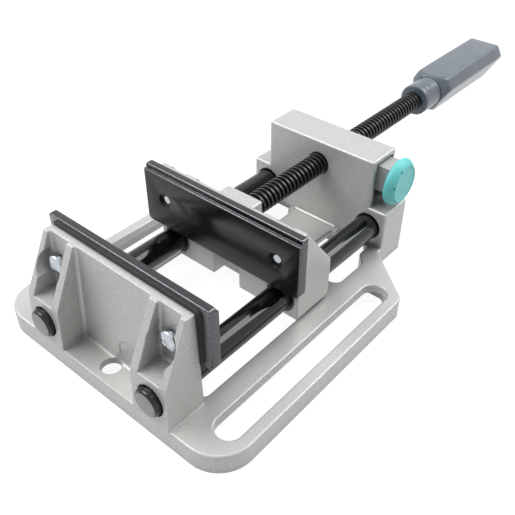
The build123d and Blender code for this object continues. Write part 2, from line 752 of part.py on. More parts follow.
def grip():
    """Three broad flats and three narrow ones, with a round hub."""
    corners = []
    for k in range(3):
        turn = math.radians(90.0 + 120.0 * k)
        # Where each broad flat meets the two narrow ones beside it
        along = (CORNER_DIST - FLAT_DIST * math.cos(math.radians(60.0))) / math.sin(math.radians(60.0))
        for s in (1, -1):
            u = FLAT_DIST * math.cos(turn) + s * along * math.sin(turn)
            v = FLAT_DIST * math.sin(turn) - s * along * math.cos(turn)
            corners.append((u, v))
    corners.sort(key=lambda p: math.atan2(p[1], p[0]))
    ring = [(u, v, GRIP_CORNER_R) for u, v in corners]
    body = Pos(0, 0, SPINDLE_Z) * front(ring, HUB_END - 6.0, GRIP_END)
    reach = CORNER_DIST + 1.2
    turned = [
        (0.0, HUB_END - 8.0),
        (HUB_R - 2.0, HUB_END - 8.0),
        (HUB_R - 0.3, HUB_END - 1.0),
        (HUB_R + 1.5, HUB_END + 0.4),
        (reach, GRIP_Y + 1.0),
        (reach + 2.0, GRIP_Y + 6.0),
        (reach + 2.0, GRIP_END - 2.0),
        (reach - 0.4, GRIP_END),
        (0.0, GRIP_END),
    ]
    envelope = revolve(make_face(Polyline(*turned, close=True)), Axis.Y)
    body = body & (Pos(0, 0, SPINDLE_Z) * envelope)
    body = break_edges(body, [e for e in body.edges() if e.center().Y > GRIP_END - 0.3], 0.7)
    hub = cyl_y(0.0, SPINDLE_Z, HUB_R, HUB_Y, HUB_END + 4.0)
    hub = break_edges(hub, [e for e in hub.edges().filter_by(GeomType.CIRCLE) if e.center().Y < HUB_Y + 0.1], 0.7)
    # Raised moulding ring over the end of the pin, which the plastic covers
    mark_height = HUB_R + MARK_RISE - SOCKET_R - 1.0
    mark = Cylinder(MARK_R, mark_height) - Cylinder(MARK_R - MARK_WALL, mark_height + 2.0)
    mark = Pos(0, 0, HUB_R + MARK_RISE - mark_height / 2.0) * mark
    mark = Pos(0, PIN_Y, SPINDLE_Z) * Rot(0, PIN_TURN, 0) * mark
    grip_all = body + hub + mark
    grip_all = grip_all - cyl_y(0.0, SPINDLE_Z, SOCKET_R, HUB_Y - 1.0, HUB_Y + SOCKET_LEN)
    return grip_all - pin_tool(PIN_R + 0.01, 2.0 * (HUB_R - PIN_COVER))


def spring_pin():
    """Rolled pin: a slotted tube through hub and spindle."""
    length = 2.0 * (HUB_R - PIN_COVER) - 0.4
    tube = Cylinder(PIN_R, length) - Cylinder(PIN_R - PIN_WALL, length + 2.0)
    tube = tube - Pos(PIN_R, 0, 0) * Box(PIN_R * 2.0, 0.6, length + 2.0)
    return Pos(0, PIN_Y, SPINDLE_Z) * Rot(0, PIN_TURN, 0) * tube


def slider():
    body = box(SLIDER_X0, STEM_X0, SLIDER_Y0, SLIDER_Y1, SLIDER_Z0, SLIDER_Z1)
    stem = side(
        [
            (SLIDER_Y0 + 1.5, STEM_Z0),
            (SLIDER_Y1, STEM_Z0),
            (SLIDER_Y1, STEM_Z1),
            (SLIDER_Y0, STEM_Z1),
            (SLIDER_Y0, STEM_Z0 + 1.5),
        ],
        STEM_X0 - 1.0,
        STEM_END,
    )
    body = body + stem
    body = body + cyl_x(SLIDER_MID_Y, BUTTON_Z, SPIGOT_R, STEM_END - 0.5, STEM_END + SPIGOT_LEN)
    # Window for the spindle: the left side is the half nut, the right side is free room
    nut_r = SPINDLE_R + NUT_FIT
    free = SLIDER_TRAVEL + 0.6
    body = body - cyl_y(0.0, SPINDLE_Z, nut_r, SLIDER_Y0 - 1.0, SLIDER_Y1 + 1.0)
    body = body - cyl_y(free, SPINDLE_Z, nut_r, SLIDER_Y0 - 1.0, SLIDER_Y1 + 1.0)
    body = body - box(0.0, free, SLIDER_Y0 - 1.0, SLIDER_Y1 + 1.0, SPINDLE_Z - nut_r, SPINDLE_Z + nut_r)
    # Groove for the stop pin
    g0 = STOP_X - STOP_R - 0.02
    g1 = STOP_X + STOP_R + SLIDER_TRAVEL + 0.1
    body = body - box(g0, g1, SLIDER_MID_Y - STOP_R - 0.05, SLIDER_MID_Y + STOP_R + 0.05,
                      SLIDER_Z0 - 1.0, STOP_TOP + 0.3)
    return body


def button():
    """Round push button with a rolled rim and a slightly sunk face."""
    x0 = STEM_END + 0.02
    x1 = x0 + BUTTON_T
    rim = [
        (x0, 0.0),
        (x0, 9.0),
        (x0 + 0.6, BUTTON_R - 0.5),
        (x0 + 1.4, BUTTON_R - 0.2),
        (x0 + 2.3, BUTTON_R),
        (x0 + 3.4, BUTTON_R - 0.4),
        (x0 + 4.8, BUTTON_R - 1.4),
        (x0 + 5.9, BUTTON_R - 2.8),
        (x1, BUTTON_FACE_R + 0.3),
        (x1 - 0.35, BUTTON_FACE_R - 0.3),
        (x1 - 0.35, 0.0),
    ]
    body = revolve(make_face(Polyline(*rim, close=True)), Axis.X)
    body = Pos(0, SLIDER_MID_Y, BUTTON_Z) * body
    return body - cyl_x(SLIDER_MID_Y, BUTTON_Z, SPIGOT_R + 0.02, x0 - 1.0, STEM_END + SPIGOT_LEN + 0.3)


def release_spring():
    """Compression spring between the tower wall and the slider."""
    length = SLIDER_X0 - CAVITY_END - 0.1
    wire = Helix(pitch=(length - 2.0 * SPRING_WIRE_R) / SPRING_TURNS, height=length - 2.0 * SPRING_WIRE_R,
                 radius=SPRING_R - SPRING_WIRE_R)
    section = Plane(origin=wire @ 0, z_dir=wire % 0) * RegularPolygon(SPRING_WIRE_R, 6)
    coil = sweep(section, path=wire)
    coil = Rot(0, 90, 0) * coil
    return Pos(CAVITY_END + 0.05 + SPRING_WIRE_R, SLIDER_MID_Y, SPINDLE_Z) * coil


def stop_pin():
    return cyl_z(STOP_X, SLIDER_MID_Y, STOP_R, STOP_LOW, STOP_TOP)


def backing_layer():
    ring = [
        (-BACKING_HALF, BACKING_Z0, 1.5),
        (BACKING_HALF, BACKING_Z0, 1.5),
        (BACKING_HALF, BACKING_TOP, 3.0),
        (-BACKING_HALF, BACKING_TOP, 3.0),
    ]
    layer = front(ring, JAW_BACK_Y, FIXED_PLATE_Y)
    for s in (-1, 1):
        layer = layer - cyl_y(s * SCREW_X, SCREW_Z, SCREW_PASS_R, JAW_BACK_Y - 1.0, FIXED_PLATE_Y + 1.0)
    return layer


def grub_screw(x):
    top = ROD_Z - ROD_R - 0.02
    bottom = 6.0
    body = cyl_z(x, GRUB_Y, GRUB_R, bottom, top)
    key = Pos(x, GRUB_Y, bottom - 0.5) * extrude(RegularPolygon(1.4, 6), 2.5)
    return body - key


save(base_casting(), "base_casting")
save(guide_rod(-ROD_X), "guide_rod_left")
save(guide_rod(ROD_X), "guide_rod_right")
save(Compound([*grub_screw(-ROD_X).solids(), *grub_screw(ROD_X).solids()]), "rod_grub_screws")
save(backing_layer(), "fixed_jaw_backing")
save(jaw_plate(FIXED_FACE_Y, 1, (-SCREW_X, SCREW_X)), "fixed_jaw_plate")
save(jaw_plate(MOVING_FACE_Y, -1, (-SCREW_X, SCREW_X)), "moving_jaw_plate")

fixed_screws = []
fixed_washers = []
moving_screws = []
moving_washers = []
for x in (-SCREW_X, SCREW_X):
    fixed_screws += jaw_screw(x, SEAT_Y, 1, FIXED_FACE_Y - TIP_RECESS).solids()
    fixed_washers += jaw_washer(x, SEAT_Y, 1).solids()
    moving_screws += jaw_screw(x, CAR_Y + SEAT_DEPTH, -1, MOVING_FACE_Y + TIP_RECESS).solids()
    moving_washers += jaw_washer(x, CAR_Y + SEAT_DEPTH, -1).solids()
save(Compound(fixed_screws), "fixed_jaw_screws")
save(Compound(fixed_washers), "fixed_jaw_washers")
save(Compound(moving_screws), "moving_jaw_screws")
save(Compound(moving_washers), "moving_jaw_washers")

save(carriage(), "moving_carriage")
save(rod_bush(-ROD_X), "rod_bush_left")
save(rod_bush(ROD_X), "rod_bush_right")
save(lead_screw(), "lead_screw")
save(thrust_washer(), "spindle_thrust_washer")
save(retaining_ring(), "spindle_retaining_ring")
save(grip(), "handle")
save(spring_pin(), "handle_pin")
save(slider(), "half_nut_slider")
save(button(), "release_button")
save(release_spring(), "release_spring")
save(stop_pin(), "slider_stop_pin")
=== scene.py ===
"""Drill press vise with a quick release, dressed for the render.

Metres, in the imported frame: +X along the jaws toward the button, +Y along the spindle toward
the grip, +Z up, with the origin on the underside midway between the two table slots.
"""

import math

import bmesh
import bpy
from mathutils import Matrix, Vector
from mathutils.geometry import interpolate_bezier


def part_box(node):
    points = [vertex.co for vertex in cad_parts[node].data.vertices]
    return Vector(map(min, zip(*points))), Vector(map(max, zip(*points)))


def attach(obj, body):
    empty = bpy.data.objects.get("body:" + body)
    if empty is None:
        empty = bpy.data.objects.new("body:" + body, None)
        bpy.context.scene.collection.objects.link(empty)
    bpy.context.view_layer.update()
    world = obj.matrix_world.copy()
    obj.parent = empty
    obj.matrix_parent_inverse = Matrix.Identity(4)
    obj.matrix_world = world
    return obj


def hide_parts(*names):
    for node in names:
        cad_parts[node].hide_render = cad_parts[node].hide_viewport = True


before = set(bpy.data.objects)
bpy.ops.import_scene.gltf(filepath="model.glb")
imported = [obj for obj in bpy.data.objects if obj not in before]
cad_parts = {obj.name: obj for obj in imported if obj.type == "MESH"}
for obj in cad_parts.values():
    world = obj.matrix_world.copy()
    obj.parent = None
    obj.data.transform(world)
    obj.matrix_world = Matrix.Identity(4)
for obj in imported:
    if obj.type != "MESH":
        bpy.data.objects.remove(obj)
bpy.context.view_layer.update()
MM = 0.001

# Studio floor
# A seamless white sweep of painted board. The lens sees it as pure white, and it keeps the
# soft shadow under the vise. It also throws light up onto the undersides.
WHITE = (1.0, 1.0, 1.0, 1.0)
BLACK = (0.0, 0.0, 0.0, 1.0)


def linear(code):
    """sRGB hex code to linear colour."""
    channels = [int(code[i:i + 2], 16) / 255.0 for i in (1, 3, 5)]
    flat = [c / 12.92 if c <= 0.04045 else ((c + 0.055) / 1.055) ** 2.4 for c in channels]
    return (*flat, 1.0)


def add(tree, kind, inputs=None, **settings):
    """Add one node; an input is a value or the socket that feeds it."""
    made = tree.nodes.new(kind)
    for name, value in settings.items():
        setattr(made, name, value)
    for name, value in (inputs or {}).items():
        if isinstance(value, bpy.types.NodeSocket):
            tree.links.new(value, made.inputs[name])
        else:
            made.inputs[name].default_value = value
    return made


def shown_share(tree):
    """1 where the background itself is seen: by the lens, in a mirror or through glass."""
    path = add(tree, "ShaderNodeLightPath")
    first = add(tree, "ShaderNodeMath", {0: path.outputs["Is Camera Ray"],
                                         1: path.outputs["Is Glossy Ray"]}, operation="MAXIMUM")
    return add(tree, "ShaderNodeMath", {0: first.outputs[0],
                                        1: path.outputs["Is Transmission Ray"]},
               operation="MAXIMUM").outputs[0]


# Only SHADOW_SHARE of the paint shows, which the lamps light to about LIT_PAINT, and a steady
# glow adds what is missing to pure white.
FLOOR_HALF = 3.0
PAINT_CODE = "#BEBEBE"
SHADOW_SHARE = 0.30
LIT_PAINT = 0.25

sweep = bmesh.new()
bmesh.ops.create_grid(sweep, x_segments=1, y_segments=1, size=FLOOR_HALF)
floor_mesh = bpy.data.meshes.new("studio_floor")
sweep.to_mesh(floor_mesh)
sweep.free()
floor = bpy.data.objects.new("studio_floor", floor_mesh)
bpy.context.scene.collection.objects.link(floor)

board = bpy.data.materials.new("white_board")
board.use_nodes = True
tree = board.node_tree
tree.nodes.clear()
paint = add(tree, "ShaderNodeBsdfDiffuse", {"Color": linear(PAINT_CODE)})
glow = add(tree, "ShaderNodeEmission", {"Color": WHITE, "Strength": 1.0 - SHADOW_SHARE * LIT_PAINT})
faint = add(tree, "ShaderNodeMixShader", {0: SHADOW_SHARE})
dark = add(tree, "ShaderNodeEmission", {"Color": BLACK})
tree.links.new(dark.outputs[0], faint.inputs[1])
tree.links.new(paint.outputs[0], faint.inputs[2])
seen = add(tree, "ShaderNodeAddShader", {0: glow.outputs[0], 1: faint.outputs[0]})
both = add(tree, "ShaderNodeMixShader", {0: shown_share(tree), 1: paint.outputs[0], 2: seen.outputs[0]})
add(tree, "ShaderNodeOutputMaterial", {"Surface": both.outputs[0]})
floor_mesh.materials.append(board)

# Studio light
# A white tent gives a low even fill. The key softbox hangs in front on the left and draws bright
# lines along the edges, and the one behind draws the broad highlights on the rods.
TENT = 0.30
LIT_POINT = Vector((0.0, 0.0, 0.03))
# Name, place, width, height and power in watts
SOFTBOXES = (
    ("key_softbox", (-0.60, -0.36, 0.98), 0.9, 0.9, 12.0),
    ("back_softbox", (0.42, 0.72, 0.95), 0.7, 0.9, 9.5),
)

world = bpy.data.worlds.new("white_tent")
bpy.context.scene.world = world
world.use_nodes = True
tree = world.node_tree
tree.nodes.clear()
fill = add(tree, "ShaderNodeBackground", {"Color": WHITE, "Strength": TENT})
back = add(tree, "ShaderNodeBackground", {"Color": WHITE, "Strength": 1.0})
tent = add(tree, "ShaderNodeMixShader", {0: shown_share(tree), 1: fill.outputs[0], 2: back.outputs[0]})
add(tree, "ShaderNodeOutputWorld", {"Surface": tent.outputs[0]})

for name, place, width, height, power in SOFTBOXES:
    lamp = bpy.data.lights.new(name, "AREA")
    lamp.shape = "RECTANGLE"
    lamp.size = width
    lamp.size_y = height
    lamp.energy = power
    stand = bpy.data.objects.new(name, lamp)
    stand.location = place
    stand.rotation_euler = (LIT_POINT - Vector(place)).to_track_quat("-Z", "Y").to_euler()
    bpy.context.scene.collection.objects.link(stand)

# Camera
# Placed where the straight edges of the photograph put it, in front, above and to the right.
# The shifts move the picture on the film, as a lens out of centre does.
EYE = (0.18631, -0.18210, 0.24445)
YAW = math.radians(39.54)
PITCH = math.radians(38.57)
ROLL = math.radians(0.90)
LENS = 48.1
SHIFT_X = -0.0165
SHIFT_Y = -0.0096
FILM_WIDTH = 36.0
NEAREST = 0.01

camera = bpy.data.objects.new("camera", bpy.data.cameras.new("camera"))
camera.data.sensor_width = FILM_WIDTH
camera.data.lens = LENS
camera.data.shift_x = SHIFT_X
camera.data.shift_y = SHIFT_Y
camera.data.clip_start = NEAREST
camera.matrix_world = (Matrix.Translation(EYE) @ Matrix.Rotation(YAW, 4, "Z")
                       @ Matrix.Rotation(math.pi / 2.0 - PITCH, 4, "X") @ Matrix.Rotation(ROLL, 4, "Z"))
bpy.context.scene.collection.objects.link(camera)
bpy.context.scene.camera = camera
bpy.context.scene.view_settings.view_transform = "Standard"


# Castings: base and sliding jaw
# Both are pressure die-cast aluminium, blasted and painted silver-grey. The granular coat shows
# fine bright specks, the edges are rounded by the blasting, and deep corners are darkened as painted
# shade.
def new_finish(name, **sockets):
    """A material and its surface shader, with the shader's own sockets set."""
    made = bpy.data.materials.new(name)
    made.use_nodes = True
    shader = made.node_tree.nodes["Principled BSDF"]
    for socket, value in sockets.items():
        shader.inputs[socket.replace("_", " ")].default_value = value
    return made, made.node_tree, shader


def grain(tree, size, detail=2.0):
    """Noise on the piece's own coordinates, with its grain in millimetres.

    A real grain that is too fine for the render is drawn as coarse as it needs to show.
    """
    place = add(tree, "ShaderNodeTexCoord").outputs["Object"]
    return add(tree, "ShaderNodeTexNoise", {"Vector": place, "Scale": 1.0 / (size * MM),
                                            "Detail": detail, "Roughness": 0.55}).outputs["Fac"]


def blend_colours(tree, share, low, high, dark_code, light_code):
    """Colour that runs from one code to the other as the pattern goes from low to high."""
    ramp = add(tree, "ShaderNodeMapRange", {"Value": share, "From Min": low, "From Max": high})
    mix = add(tree, "ShaderNodeMix", {"Factor": ramp.outputs[0], "A": linear(dark_code),
                                      "B": linear(light_code)}, data_type="RGBA")
    return mix.outputs["Result"]


CAST_GRAIN = 0.45
CAST_DARK = "#B0B0AE"
CAST_LIGHT = "#D4D4D2"
CAST_SMOOTHEST = 0.32
CAST_ROUGHEST = 0.44
CAST_RELIEF = 0.30
CAST_RELIEF_HEIGHT = 0.08 * MM
EDGE_ROUND = 0.9 * MM
CORNER_REACH = 12.0 * MM
CORNER_START = 0.60
CORNER_FULL = 0.20
CORNER_SHADE = 0.45

silver_coat, tree, shader = new_finish("blasted_silver_coat", Metallic=0.3)
speck = grain(tree, CAST_GRAIN, 2.0)
coat = blend_colours(tree, speck, 0.32, 0.68, CAST_DARK, CAST_LIGHT)
# Painted shade: the coat colour is darkened towards black in deep corners, where shade falls.
painted_corner_shade = add(tree, "ShaderNodeAmbientOcclusion",
             {"Color": coat, "Distance": CORNER_REACH}, samples=8)
painted_shade_share = add(tree, "ShaderNodeMapRange", {"Value": painted_corner_shade.outputs["AO"], "From Min": CORNER_FULL,
                                         "From Max": CORNER_START, "To Min": CORNER_SHADE, "To Max": 1.0})
coat_with_painted_shade = add(tree, "ShaderNodeMix", {"Factor": painted_shade_share.outputs[0], "A": BLACK, "B": coat},
             data_type="RGBA")
tree.links.new(coat_with_painted_shade.outputs["Result"], shader.inputs["Base Color"])
rough = add(tree, "ShaderNodeMapRange", {"Value": grain(tree, 1.3), "To Min": CAST_SMOOTHEST,
                                         "To Max": CAST_ROUGHEST})
tree.links.new(rough.outputs[0], shader.inputs["Roughness"])
worn = add(tree, "ShaderNodeBevel", {"Radius": EDGE_ROUND}, samples=6)
relief = add(tree, "ShaderNodeBump", {"Height": speck, "Strength": CAST_RELIEF,
                                      "Distance": CAST_RELIEF_HEIGHT, "Normal": worn.outputs[0]})
tree.links.new(relief.outputs[0], shader.inputs["Normal"])


def coat_node(name, material):
    """Give a CAD node that stays in view its finish."""
    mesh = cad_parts[name].data
    mesh.materials.clear()
    mesh.materials.append(material)


coat_node("moving_carriage", silver_coat)

# Base casting
# Fixed jaw, slotted wings and tower are cast in one. The dressed copy has its two rear openings
# carried in under the tower, so the white table shows through them, and a small rounded fillet
# where the tongue meets the tower.
# Points nearer than MERGE are joined, and edges that turn more than CREASE stay sharp to the eye
MERGE = 1e-6
CREASE = math.radians(38.0)


def finished(made, name, body, materials, nodes):
    """Turn a bmesh into a finished piece that stands for its CAD nodes."""
    for face in made.faces:
        face.smooth = True
    for edge in made.edges:
        edge.smooth = not (edge.is_manifold and edge.calc_face_angle() > CREASE)
    mesh = bpy.data.meshes.new(name)
    made.to_mesh(mesh)
    made.free()
    for material in materials:
        mesh.materials.append(material)
    piece = bpy.data.objects.new(name, mesh)
    bpy.context.scene.collection.objects.link(piece)
    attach(piece, body)
    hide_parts(*nodes)
    for node in nodes:
        coat_node(node, materials[0])
    return piece


# Each undercut is a box between two corners, in millimetres
UNDERCUTS = (
    ((-36.0, 84.2, -2.0), (-17.4, 97.2, 10.95)),
    ((17.4, 84.2, -2.0), (36.0, 97.2, 10.95)),
)
FOOT_FILLET_R = 1.3 * MM
FOOT_FILLET_HALF = 14.6 * MM
FOOT_FILLET_STEPS = 6
LET_IN = 0.1 * MM
TOWER_FRONT = 87.65 * MM
PLATE_TOP = 10.8 * MM

cutters = bmesh.new()
for low, high in UNDERCUTS:
    low, high = Vector(low) * MM, Vector(high) * MM
    place = Matrix.Translation((low + high) / 2.0) @ Matrix.Diagonal((*(high - low), 1.0))
    bmesh.ops.create_cube(cutters, size=1.0, matrix=place)
cutter_mesh = bpy.data.meshes.new("undercuts")
cutters.to_mesh(cutter_mesh)
cutters.free()
cutter = bpy.data.objects.new("undercuts", cutter_mesh)
bpy.context.scene.collection.objects.link(cutter)
shaped = bpy.data.objects.new("base_shaped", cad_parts["base_casting"].data.copy())
bpy.context.scene.collection.objects.link(shaped)
cut = shaped.modifiers.new("undercuts", "BOOLEAN")
cut.object = cutter
cut.operation = "DIFFERENCE"
cut.solver = "EXACT"
body = bmesh.new()
body.from_object(shaped, bpy.context.evaluated_depsgraph_get())
bpy.data.objects.remove(shaped)
bpy.data.objects.remove(cutter)
bmesh.ops.remove_doubles(body, verts=body.verts, dist=MERGE)
base = finished(body, "base_casting_blasted", "base", [silver_coat], ["base_casting"])
base.data.polygons.foreach_set("use_smooth", [False] * len(base.data.polygons))

foot = bmesh.new()
arc = [(TOWER_FRONT + LET_IN, PLATE_TOP - LET_IN), (TOWER_FRONT - FOOT_FILLET_R, PLATE_TOP - LET_IN)]
for k in range(FOOT_FILLET_STEPS + 1):
    turn = math.radians(90.0 * k / FOOT_FILLET_STEPS)
    arc.append((TOWER_FRONT - FOOT_FILLET_R * (1.0 - math.sin(turn)),
                PLATE_TOP + FOOT_FILLET_R * (1.0 - math.cos(turn))))
arc.append((TOWER_FRONT + LET_IN, PLATE_TOP + FOOT_FILLET_R))
section = foot.faces.new([foot.verts.new((-FOOT_FILLET_HALF, y, z)) for y, z in arc])
run = bmesh.ops.extrude_face_region(foot, geom=[section])["geom"]
bmesh.ops.translate(foot, verts=[g for g in run if isinstance(g, bmesh.types.BMVert)],
                    vec=(2.0 * FOOT_FILLET_HALF, 0.0, 0.0))
bmesh.ops.recalc_face_normals(foot, faces=foot.faces)
finished(foot, "tower_foot_fillet", "base", [silver_coat], ["base_casting"])


# Guide rods
# Two polished steel bars, 14 mm thick and coated gloss black, so they mirror the softboxes. They
# are pressed into the base and held from below by grub screws. Their rounded front ends are
# ground bare and stand 2 mm out of the jaw.
def turned(profile, centre, axis, steps=96):
    """Body of revolution; each profile point is (distance along the axis, radius)."""
    made = bmesh.new()
    axis = Vector(axis)
    across = axis.orthogonal().normalized()
    centre = Vector(centre)
    points = [made.verts.new(centre + axis * along + across * radius) for along, radius in profile]
    edges = [made.edges.new(pair) for pair in zip(points, points[1:])]
    bmesh.ops.spin(made, geom=points + edges, cent=centre, axis=axis, angle=2.0 * math.pi,
                   steps=steps, use_merge=True)
    bmesh.ops.remove_doubles(made, verts=made.verts, dist=MERGE)
    bmesh.ops.recalc_face_normals(made, faces=made.faces)
    return made


def round_edges(made, offset, segments=3, above=30.0):
    """Bevel every edge that turns more than the angle."""
    sharp = [e for e in made.edges if e.is_manifold and e.calc_face_angle() > math.radians(above)]
    bmesh.ops.bevel(made, geom=sharp, offset=offset, offset_type="OFFSET", affect="EDGES",
                    segments=segments, profile=0.5, clamp_overlap=True, material=-1)


def mottle(tree, shader, size, dark_code, light_code, low=0.35, high=0.65):
    """Colour the whole surface with a fine grain between two codes."""
    colour = blend_colours(tree, grain(tree, size), low, high, dark_code, light_code)
    tree.links.new(colour, shader.inputs["Base Color"])


ROD_ROUND = 1.4 * MM
SQUARE_ON = 0.99

gloss_black, tree, shader = new_finish("gloss_black_steel", Specular_IOR_Level=0.5)
mottle(tree, shader, 6.0, "#070708", "#0B0B0D", 0.4, 0.6)
rough = add(tree, "ShaderNodeMapRange", {"Value": grain(tree, 9.0), "To Min": 0.06, "To Max": 0.14})
tree.links.new(rough.outputs[0], shader.inputs["Roughness"])

ground_end, tree, shader = new_finish("ground_steel_end", Roughness=0.38, Metallic=0.7)
mottle(tree, shader, 0.6, "#7C7E81", "#8E9093")

for node in ("guide_rod_left", "guide_rod_right"):
    low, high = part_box(node)
    middle = (low + high) / 2.0
    radius = (high.x - low.x) / 2.0
    length = high.y - low.y
    rod = turned([(0.0, 0.0), (0.0, radius), (length, radius), (length, 0.0)],
                 (middle.x, low.y, middle.z), (0.0, 1.0, 0.0))
    round_edges(rod, ROD_ROUND, 6)
    for face in rod.faces:
        face.material_index = 1 if face.normal.y < -SQUARE_ON else 0
    finished(rod, node + "_polished", "base", [gloss_black, ground_end], [node])

# Grub screws under the base
# Socket screws with a dull black oxide, turned into the threaded holes below each rod. They only
# show from below.
black_oxide, tree, shader = new_finish("black_oxide", Roughness=0.5, Metallic=0.6)
mottle(tree, shader, 0.8, "#191918", "#262625")
coat_node("rod_grub_screws", black_oxide)

# Jaw plates
# Flat steel bar, stepped along the top for thin work, with satin black oxide. The ground faces
# keep a fine grain along the jaw and the sawn ends are lighter. The fixed plate's back is light
# grey as a painted reflection, and the edges are rubbed bare and lighter as a painted highlight.
PLATE_GRAIN = 0.6 * MM
PLATE_STRETCH = 0.08

satin_black, tree, shader = new_finish("satin_black_steel", Specular_IOR_Level=0.3)
mottle(tree, shader, 0.7, "#1A1A1B", "#232324")
stretch = add(tree, "ShaderNodeMapping", {"Vector": add(tree, "ShaderNodeTexCoord").outputs["Object"],
                                          "Scale": (PLATE_STRETCH, 1.0, 1.0)})
lines = add(tree, "ShaderNodeTexNoise", {"Vector": stretch.outputs[0], "Scale": 1.0 / PLATE_GRAIN,
                                         "Detail": 2.0}).outputs["Fac"]
rough = add(tree, "ShaderNodeMapRange", {"Value": lines, "To Min": 0.16, "To Max": 0.26})
tree.links.new(rough.outputs[0], shader.inputs["Roughness"])
relief = add(tree, "ShaderNodeBump", {"Height": lines, "Strength": 0.05, "Distance": 0.03 * MM})
tree.links.new(relief.outputs[0], shader.inputs["Normal"])


def clean_copy(node):
    """A CAD node's shape as one mesh with merged points and whole flat faces."""
    made = bmesh.new()
    made.from_mesh(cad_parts[node].data)
    bmesh.ops.remove_doubles(made, verts=made.verts, dist=MERGE)
    bmesh.ops.dissolve_limit(made, angle_limit=math.radians(0.5), verts=made.verts, edges=made.edges)
    return made


PLATE_ROUND = 0.35 * MM
FOOT_CORNER_R = 1.6 * MM
FOOT_CORNER_STEPS = 5
HOLE_X = 36.0 * MM
HOLE_Z = 47.6 * MM
HOLE_ZONE = 5.0 * MM
SLOPED = 0.96
END_AREA = 20.0 * MM * MM
NEAR = 0.01 * MM
# Places in the plate's list of finishes; the first one covers the rest
SAWN, RUBBED_AND_HIGHLIGHT, GROUND, BACK_REFLECTION = 1, 2, 3, 4

sawn_end, tree, shader = new_finish("sawn_steel_end", Roughness=0.42, Metallic=0.5)
mottle(tree, shader, 0.8, "#54565A", "#5C5E62")

# Rubbed edges: partly bare steel, and partly a painted highlight along the rounded edges.
rubbed_edge_and_highlight, tree, shader = new_finish("rubbed_steel_edge_painted_highlight", Roughness=0.28, Metallic=0.7)
worn_through = grain(tree, 0.7, 3.0)
rubbed_highlight_colour = blend_colours(tree, worn_through, 0.30, 0.70, "#404244", "#7E8084")
tree.links.new(rubbed_highlight_colour, shader.inputs["Base Color"])

ground_top, tree, shader = new_finish("ground_top_of_plate", Roughness=0.3, Specular_IOR_Level=0.45)
mottle(tree, shader, 0.9, "#2B2C2E", "#343538")

# The fixed plate's back is coloured light grey as a painted reflection of the white room.
back_painted_reflection, tree, shader = new_finish("plate_back_painted_reflection", Roughness=0.4, Metallic=0.6)
mottle(tree, shader, 0.8, "#85898D", "#94989C")

for node, body in (("fixed_jaw_plate", "base"), ("moving_jaw_plate", "carriage")):
    bar = clean_copy(node)
    low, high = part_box(node)
    foot_corners = [e for e in bar.edges if abs(e.verts[0].co.y - e.verts[1].co.y) > NEAR
                    and all(v.co.z - low.z < NEAR and high.x - abs(v.co.x) < NEAR for v in e.verts)]
    bmesh.ops.bevel(bar, geom=foot_corners, offset=FOOT_CORNER_R, offset_type="OFFSET", affect="EDGES",
                    segments=FOOT_CORNER_STEPS, profile=0.5, clamp_overlap=True, material=-1)
    round_edges(bar, PLATE_ROUND, 3)
    for face in bar.faces:
        middle = face.calc_center_median()
        by_hole = abs(abs(middle.x) - HOLE_X) < HOLE_ZONE and abs(middle.z - HOLE_Z) < HOLE_ZONE
        by_foot = middle.z < low.z + FOOT_CORNER_R and abs(face.normal.y) < 1.0 - SLOPED
        if by_foot and abs(middle.x) > high.x - FOOT_CORNER_R:
            face.material_index = SAWN
        elif max(abs(part) for part in face.normal) < SLOPED and not by_hole:
            face.material_index = RUBBED_AND_HIGHLIGHT
        elif abs(face.normal.x) > SQUARE_ON and face.calc_area() > END_AREA:
            face.material_index = SAWN
        elif face.normal.z > SQUARE_ON:
            face.material_index = GROUND
        elif node == "fixed_jaw_plate" and face.normal.y < -SQUARE_ON:
            face.material_index = BACK_REFLECTION
    finished(bar, node.replace("plate", "bar"), body,
             [satin_black, sawn_end, rubbed_edge_and_highlight, ground_top, back_painted_reflection], [node])


# Backing layer behind the fixed plate
# A 2 mm dark sheet between casting and plate, with a coarse surface that gives no highlight. It
# ends short of the plate on the left, where the plate's back shows with its painted reflection.
def softened_copy(node, offset, segments, above=24.0):
    """A clean copy with its edges rounded."""
    made = clean_copy(node)
    round_edges(made, offset, segments, above)
    return made


SHEET_INSET = 2.2 * MM
SHEET_ROUND = 0.25 * MM

dark_sheet, tree, shader = new_finish("dark_backing_sheet", Roughness=0.8)
coarse = grain(tree, 0.9, 4.0)
sheet_colour = blend_colours(tree, coarse, 0.3, 0.7, "#1B1B1B", "#343434")
tree.links.new(sheet_colour, shader.inputs["Base Color"])
relief = add(tree, "ShaderNodeBump", {"Height": coarse, "Strength": 0.6, "Distance": 0.25 * MM})
tree.links.new(relief.outputs[0], shader.inputs["Normal"])
sheet = softened_copy("fixed_jaw_backing", SHEET_ROUND, 2)
sheet_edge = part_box("fixed_jaw_backing")[0].x
for vert in sheet.verts:
    if vert.co.x < sheet_edge + SHEET_INSET:
        vert.co.x += SHEET_INSET
finished(sheet, "jaw_backing_sheet", "base", [dark_sheet], ["fixed_jaw_backing"])

# Jaw screws and collars
# Domed steel screws pull each plate against its casting through a collar, and bright zinc plating
# makes both mirror the white room. The front pair shows in the side pockets, and the tips of the
# rear pair in the plate's holes.
bright_zinc, tree, shader = new_finish("bright_zinc", Roughness=0.2, Metallic=1.0)
mottle(tree, shader, 1.2, "#B6BDC3", "#C6CDD2")

HEAD_R = 4.8 * MM
DOME = 1.4 * MM
HEAD_HEIGHT = 2.4 * MM
SHANK_R = 2.5 * MM
CROSS_HALF = 2.0 * MM
CROSS_HALF_W = 0.6 * MM
CROSS_DEEP = 0.4 * MM
HEAD_RINGS = 20
HEAD_STEPS = 64
SHANK_EDGE = 0.4 * MM
COLLAR_ROUND = 0.15 * MM

